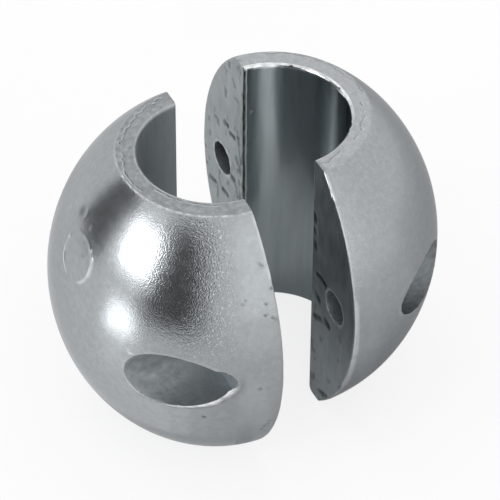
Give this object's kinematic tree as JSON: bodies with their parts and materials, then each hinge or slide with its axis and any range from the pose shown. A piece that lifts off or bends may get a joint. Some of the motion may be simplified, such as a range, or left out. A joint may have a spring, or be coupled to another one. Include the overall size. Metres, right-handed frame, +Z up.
{
  "type": "sacrificial anode",
  "caption": "Ball-shaped zinc shaft anode cast in halves, with a split shaft bore, bolt holes beside it and round screw pockets, halves standing apart on their end rings.",
  "frame": {"origin": "on the surface it stands on, midway between the bore axes of the two halves, which is the bottom centre of the box around both", "axes": "+Z up along the shaft bores, +X along the split, +Y across the split from the near half to the far half"},
  "size_m": [0.0816, 0.0944, 0.0735],
  "materials": {
    "zinc": "satin cast zinc with a fine spangle"
  },
  "bodies": {
    "root": {"near_half": "zinc", "far_half": "zinc"}
  },
  "joints": []
}
